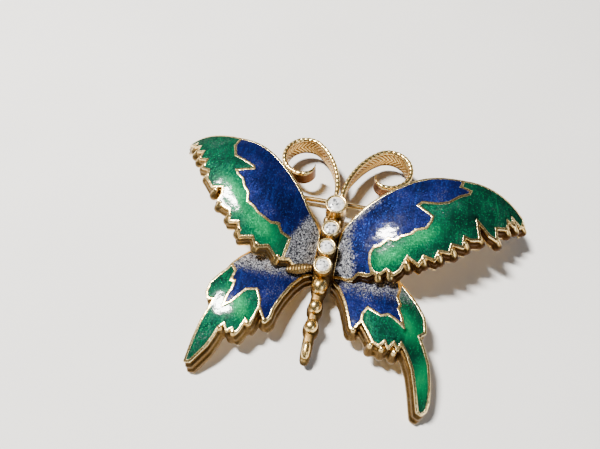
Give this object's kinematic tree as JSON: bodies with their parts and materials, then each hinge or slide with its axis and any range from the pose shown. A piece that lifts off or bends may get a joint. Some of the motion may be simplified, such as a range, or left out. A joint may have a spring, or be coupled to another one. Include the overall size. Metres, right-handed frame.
{
  "type": "butterfly brooch",
  "caption": "Butterfly brooch with enamelled wings, set stones, curled antennae, a hinged pin stem and a rolling safety catch.",
  "frame": {"origin": "middle of the brooch in X and Y, in the plane of the cloth it lies on", "axes": "+X across the wings to the wearer's left, +Y from the tail to the head, +Z away from the cloth"},
  "size_m": [0.0598, 0.0425, 0.0102],
  "materials": {
    "gold": "gold-tone plating, polished on the rims",
    "antenna_gold": "gold-tone plating, worn and toned",
    "blue_enamel": "glossy translucent enamel",
    "green_enamel": "glossy translucent enamel",
    "stone": "clear faceted",
    "pin_wire": "drawn wire, gold-tone",
    "fitting": "gold-tone plating"
  },
  "bodies": {
    "brooch": {"thorax": "gold", "abdomen": "gold", "head_stone": "stone", "collar_stone": "stone", "chest_stone": "stone", "waist_stone": "stone", "antenna_left": "antenna_gold", "antenna_right": "antenna_gold", "forewing_left": "gold", "forewing_right": "gold", "hindwing_left": "gold", "hindwing_right": "gold", "forewing_blue_left": "blue_enamel", "forewing_green_left": "green_enamel", "forewing_blue_right": "blue_enamel", "forewing_green_right": "green_enamel", "hindwing_blue_left": "blue_enamel", "hindwing_green_left": "green_enamel", "hindwing_blue_right": "blue_enamel", "hindwing_green_right": "green_enamel", "hinge_bracket": "fitting", "hinge_rivet": "fitting", "catch_bracket": "fitting"},
    "stem": {"pin_stem": "pin_wire"},
    "roller": {"safety_roller": "fitting"}
  },
  "joints": [
    {"name": "pin_hinge", "type": "hinge", "parent": "brooch", "child": "stem", "pos_m": [-0.014, 0.0114, 0.0015], "axis": [0, 1, 0], "range_deg": [0, 100]},
    {"name": "safety_turn", "type": "hinge", "parent": "brooch", "child": "roller", "pos_m": [0.014, 0.0114, 0.0015], "axis": [1, 0, 0], "range_deg": [0, 110]}
  ]
}
